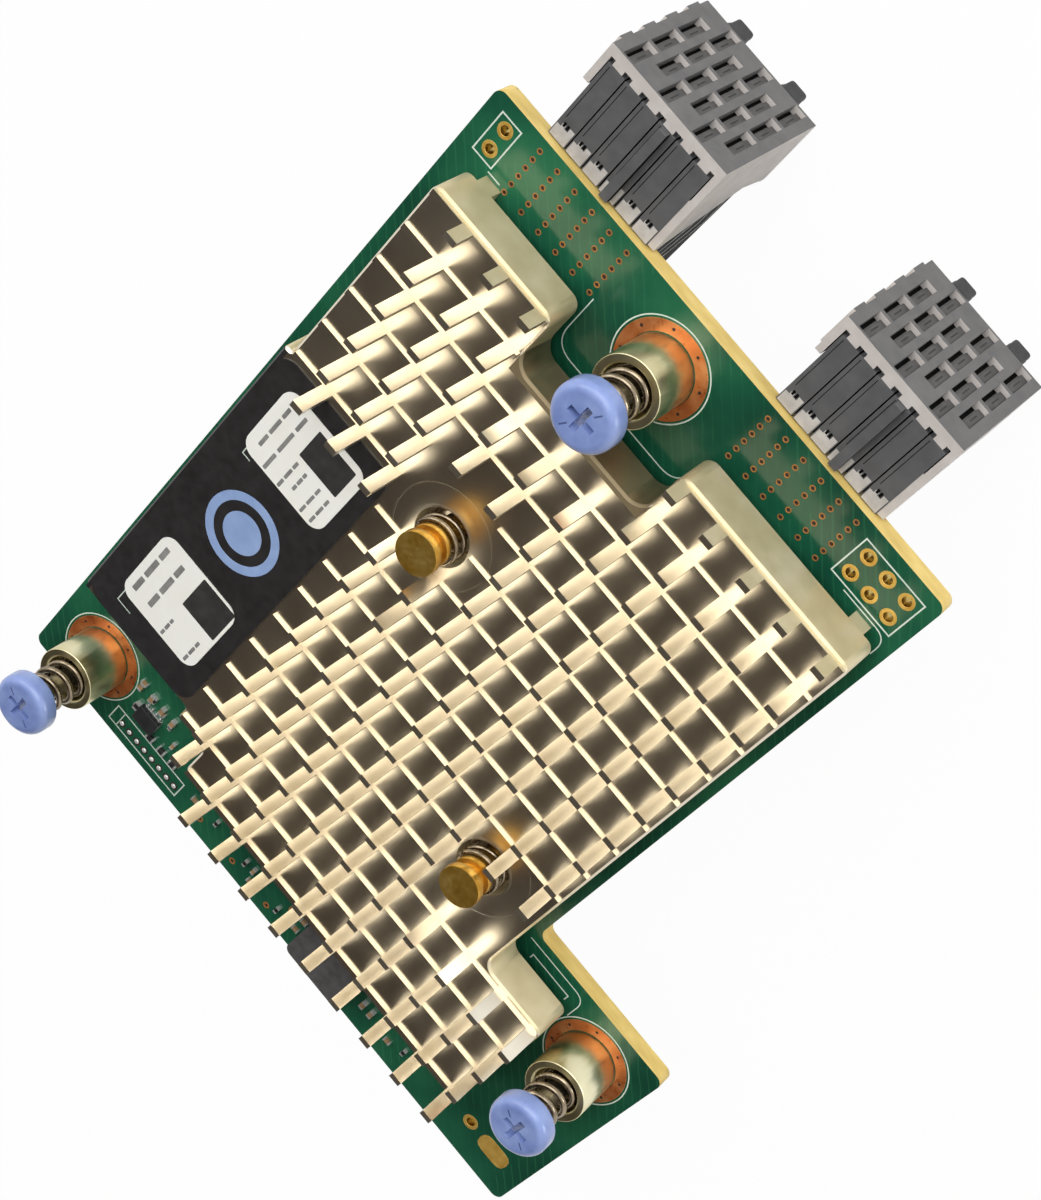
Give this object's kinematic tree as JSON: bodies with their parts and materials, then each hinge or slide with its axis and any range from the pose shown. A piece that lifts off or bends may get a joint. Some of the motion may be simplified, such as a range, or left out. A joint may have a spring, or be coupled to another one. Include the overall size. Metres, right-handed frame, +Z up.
{
  "type": "mezzanine network card",
  "caption": "Server mezzanine network card: stepped board, pin-fin heat sink on push pins, captive sprung screws and right-angle backplane connectors at the front edge.",
  "frame": {"origin": "on the front captive screw's axis at the underside of the board, where it sits on the host's standoff", "axes": "+X to the straight long side of the board, +Y from the connector edge to the back edge, +Z up through the heat sink"},
  "size_m": [0.0798, 0.1061, 0.0334],
  "materials": {
    "board": "green solder mask over glass-epoxy laminate",
    "sink": "bright champagne plating",
    "chip_package": "moulded package with a metal lid",
    "thermal_pad": "matt grey gap filler",
    "label": "black satin film",
    "sticker": "white satin paper",
    "push_pin": "turned brass",
    "spring_steel": "drawn wire",
    "barrel": "zinc plating with a yellow tint",
    "screw": "blue paint, semi-gloss",
    "connector_shroud": "light grey moulding",
    "connector_wafer": "dark grey moulding",
    "contact": "gold flash",
    "host_plastic": "black moulding",
    "inductor": "pressed dark grey powder",
    "chip_plastic": "black moulded package",
    "capacitor": "tan ceramic",
    "resistor": "black glaze"
  },
  "bodies": {
    "card": {"circuit_board": "board", "heat_sink": "sink", "controller_chip": "chip_package", "thermal_pad": "thermal_pad", "label_sheet": "label", "sticker_front": "sticker", "sticker_rear": "sticker", "connector_housing_right": "connector_shroud", "connector_housing_left": "connector_shroud", "connector_wafers_right": "connector_wafer", "connector_wafers_left": "connector_wafer", "connector_contacts_right": "contact", "connector_contacts_left": "contact", "host_connector_housing": "host_plastic", "host_connector_contacts": "contact", "power_inductor": "inductor", "interface_ic": "chip_plastic", "chip_capacitors": "capacitor", "chip_resistors": "resistor", "captive_barrel_front": "barrel", "captive_barrel_rear": "barrel", "captive_barrel_side": "barrel"},
    "front_captive_lift": {"captive_spring_front": "spring_steel"},
    "front_captive_screw": {"captive_screw_front": "screw"},
    "rear_captive_lift": {"captive_spring_rear": "spring_steel"},
    "rear_captive_screw": {"captive_screw_rear": "screw"},
    "side_captive_lift": {"captive_spring_side": "spring_steel"},
    "side_captive_screw": {"captive_screw_side": "screw"},
    "front_push_pin": {"push_pin_front": "push_pin", "push_pin_spring_front": "spring_steel"},
    "rear_push_pin": {"push_pin_rear": "push_pin", "push_pin_spring_rear": "spring_steel"}
  },
  "joints": [
    {"name": "front_screw_press", "type": "slide", "parent": "card", "child": "front_captive_lift", "axis": [0, 0, 1], "range_m": [-0.0045, 0], "stiffness_N_per_m": 300, "springref_m": 0.003, "deforming": ["captive_spring_front"]},
    {"name": "front_screw_turn", "type": "hinge", "parent": "front_captive_lift", "child": "front_captive_screw", "pos_m": [0, 0, 0], "axis": [0, 0, 1], "continuous": true},
    {"name": "rear_screw_press", "type": "slide", "parent": "card", "child": "rear_captive_lift", "axis": [0, 0, 1], "range_m": [-0.0045, 0], "stiffness_N_per_m": 300, "springref_m": 0.003, "deforming": ["captive_spring_rear"]},
    {"name": "rear_screw_turn", "type": "hinge", "parent": "rear_captive_lift", "child": "rear_captive_screw", "pos_m": [0.02081, 0.08178, 0], "axis": [0, 0, 1], "continuous": true},
    {"name": "side_screw_press", "type": "slide", "parent": "card", "child": "side_captive_lift", "axis": [0, 0, 1], "range_m": [-0.0045, 0], "stiffness_N_per_m": 300, "springref_m": 0.003, "deforming": ["captive_spring_side"]},
    {"name": "side_screw_turn", "type": "hinge", "parent": "side_captive_lift", "child": "side_captive_screw", "pos_m": [-0.04546, 0.06375, 0], "axis": [0, 0, 1], "continuous": true},
    {"name": "front_push_press", "type": "slide", "parent": "card", "child": "front_push_pin", "axis": [0, 0, 1], "range_m": [-0.0013, 0], "stiffness_N_per_m": 500, "springref_m": 0.002, "deforming": ["push_pin_spring_front"]},
    {"name": "rear_push_press", "type": "slide", "parent": "card", "child": "rear_push_pin", "axis": [0, 0, 1], "range_m": [-0.0013, 0], "stiffness_N_per_m": 500, "springref_m": 0.002, "deforming": ["push_pin_spring_rear"]}
  ]
}
